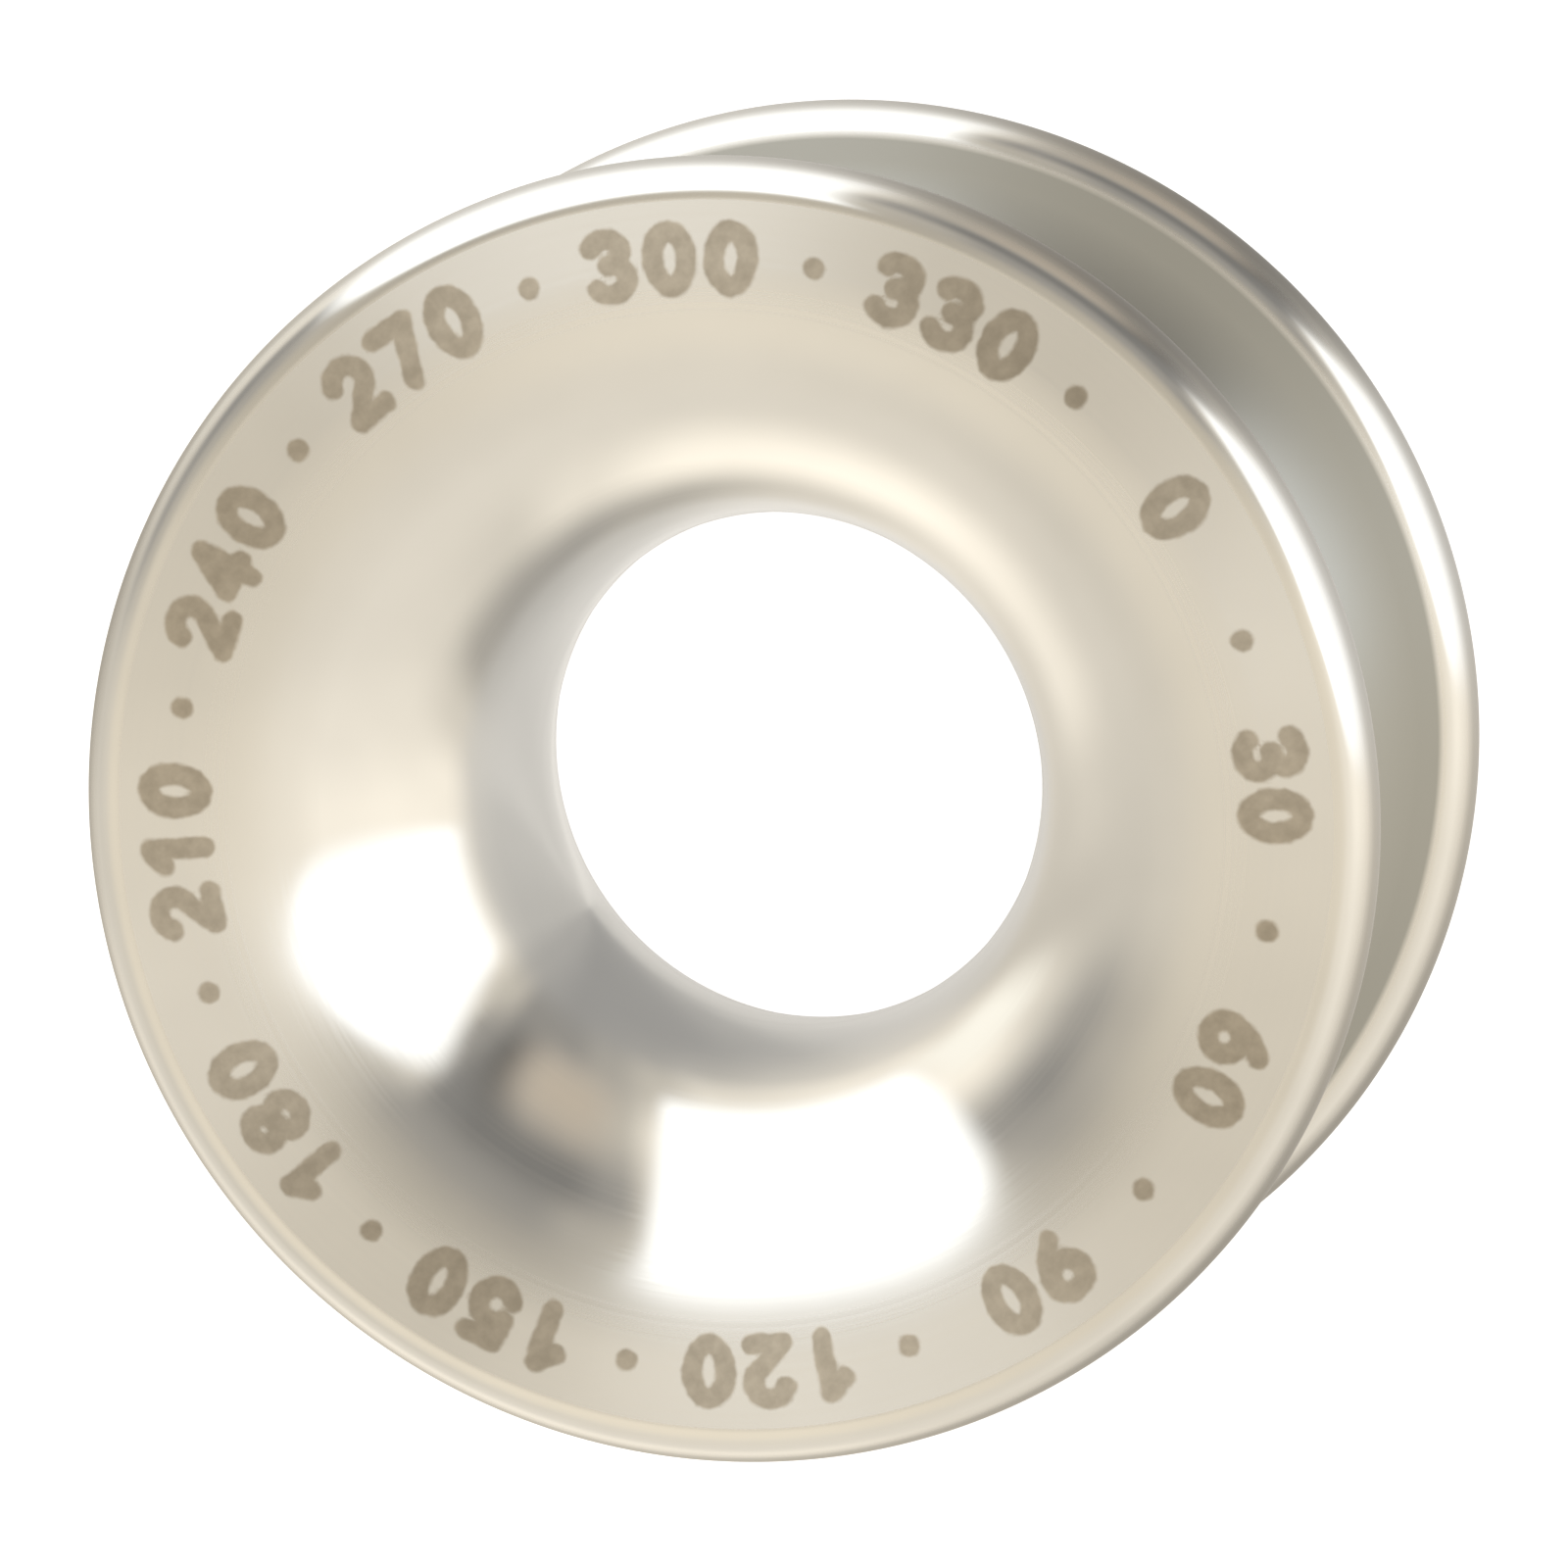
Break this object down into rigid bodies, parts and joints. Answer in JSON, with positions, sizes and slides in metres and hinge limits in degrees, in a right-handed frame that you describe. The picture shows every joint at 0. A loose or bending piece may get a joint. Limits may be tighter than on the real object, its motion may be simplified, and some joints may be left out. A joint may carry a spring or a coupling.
{
  "type": "low friction ring",
  "caption": "Turned stainless ring with a smooth rounded bore for a control line and an outer groove for a soft strop.",
  "frame": {"origin": "centre of the lower flange face", "axes": "+Z along the ring's axis, from the lower face to the upper face; the ring is round, so X and Y are equal"},
  "size_m": [0.0174, 0.0174, 0.0099],
  "materials": {
    "steel": "satin lapped faces, polished bore and rims"
  },
  "bodies": {
    "root": {"ring": "steel"}
  },
  "joints": []
}
